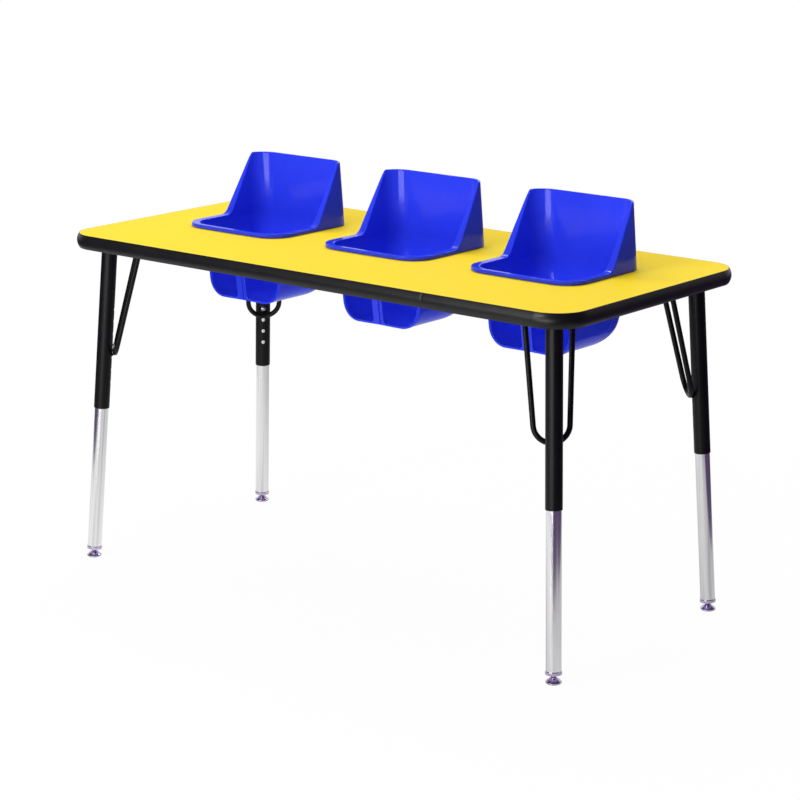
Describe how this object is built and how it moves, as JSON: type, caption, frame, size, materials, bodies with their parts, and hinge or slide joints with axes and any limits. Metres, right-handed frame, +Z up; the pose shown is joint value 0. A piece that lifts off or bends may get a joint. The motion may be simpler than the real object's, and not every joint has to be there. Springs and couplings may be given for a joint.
{
  "type": "childrens feeding table",
  "caption": "Laminated feeding table with moulded bucket seats set into its top, on splayed legs that adjust in height.",
  "frame": {"origin": "floor level under the middle of the top", "axes": "+X along the top, to the right as seen from the front; +Y towards the backs of the seats; +Z up"},
  "size_m": [1.231, 0.597, 0.8158],
  "materials": {
    "yellow_laminate": "satin high-pressure laminate",
    "particle_board": "raw particle board",
    "backing": "plain backing sheet",
    "black_edge": "satin vinyl moulding",
    "blue_plastic": "glossy moulded plastic",
    "black_paint": "satin black powder coat",
    "chrome_tube": "polished chrome plate",
    "nickel": "bright nickel plate",
    "zinc_steel": "zinc plate"
  },
  "bodies": {
    "table": {"top_core": "particle_board", "top_laminate": "yellow_laminate", "backing_sheet": "backing", "edge_band": "black_edge", "seat_left": "blue_plastic", "seat_tabs_left": "zinc_steel", "seat_tab_screws_left": "zinc_steel", "seat_centre": "blue_plastic", "seat_tabs_centre": "zinc_steel", "seat_tab_screws_centre": "zinc_steel", "seat_right": "blue_plastic", "seat_tabs_right": "zinc_steel", "seat_tab_screws_right": "zinc_steel", "mounting_plate_front_left": "black_paint", "plate_screws_front_left": "zinc_steel", "upper_tube_front_left": "black_paint", "u_brace_front_left": "black_paint", "mounting_plate_front_right": "black_paint", "plate_screws_front_right": "zinc_steel", "upper_tube_front_right": "black_paint", "u_brace_front_right": "black_paint", "mounting_plate_rear_right": "black_paint", "plate_screws_rear_right": "zinc_steel", "upper_tube_rear_right": "black_paint", "u_brace_rear_right": "black_paint", "mounting_plate_rear_left": "black_paint", "plate_screws_rear_left": "zinc_steel", "upper_tube_rear_left": "black_paint", "u_brace_rear_left": "black_paint"},
    "leg_front_left": {"lower_tube_front_left": "chrome_tube", "thread_block_front_left": "zinc_steel", "adjusting_screw_front_left": "zinc_steel", "leg_insert_front_left": "nickel", "glide_stem_front_left": "nickel"},
    "glide_front_left": {"glide_base_front_left": "nickel"},
    "leg_front_right": {"lower_tube_front_right": "chrome_tube", "thread_block_front_right": "zinc_steel", "adjusting_screw_front_right": "zinc_steel", "leg_insert_front_right": "nickel", "glide_stem_front_right": "nickel"},
    "glide_front_right": {"glide_base_front_right": "nickel"},
    "leg_rear_right": {"lower_tube_rear_right": "chrome_tube", "thread_block_rear_right": "zinc_steel", "adjusting_screw_rear_right": "zinc_steel", "leg_insert_rear_right": "nickel", "glide_stem_rear_right": "nickel"},
    "glide_rear_right": {"glide_base_rear_right": "nickel"},
    "leg_rear_left": {"lower_tube_rear_left": "chrome_tube", "thread_block_rear_left": "zinc_steel", "adjusting_screw_rear_left": "zinc_steel", "leg_insert_rear_left": "nickel", "glide_stem_rear_left": "nickel"},
    "glide_rear_left": {"glide_base_rear_left": "nickel"}
  },
  "joints": [
    {"name": "leg_slide_front_left", "type": "slide", "parent": "table", "child": "leg_front_left", "axis": [-0.0558, -0.0451, -0.9974], "range_m": [-0.0762, 0.0762]},
    {"name": "glide_tilt_front_left", "type": "hinge", "parent": "leg_front_left", "child": "glide_front_left", "pos_m": [-0.58449, -0.26287, 0.0074], "axis": [-0.6281, 0.7781, 0], "range_deg": [-6, 6]},
    {"name": "leg_slide_front_right", "type": "slide", "parent": "table", "child": "leg_front_right", "axis": [0.0558, -0.0451, -0.9974], "range_m": [-0.0762, 0.0762]},
    {"name": "glide_tilt_front_right", "type": "hinge", "parent": "leg_front_right", "child": "glide_front_right", "pos_m": [0.58449, -0.26287, 0.0074], "axis": [-0.6281, -0.7781, 0], "range_deg": [-6, 6]},
    {"name": "leg_slide_rear_right", "type": "slide", "parent": "table", "child": "leg_rear_right", "axis": [0.0558, 0.0451, -0.9974], "range_m": [-0.0762, 0.0762]},
    {"name": "glide_tilt_rear_right", "type": "hinge", "parent": "leg_rear_right", "child": "glide_rear_right", "pos_m": [0.58449, 0.26287, 0.0074], "axis": [0.6281, -0.7781, 0], "range_deg": [-6, 6]},
    {"name": "leg_slide_rear_left", "type": "slide", "parent": "table", "child": "leg_rear_left", "axis": [-0.0558, 0.0451, -0.9974], "range_m": [-0.0762, 0.0762]},
    {"name": "glide_tilt_rear_left", "type": "hinge", "parent": "leg_rear_left", "child": "glide_rear_left", "pos_m": [-0.58449, 0.26287, 0.0074], "axis": [0.6281, 0.7781, 0], "range_deg": [-6, 6]}
  ]
}
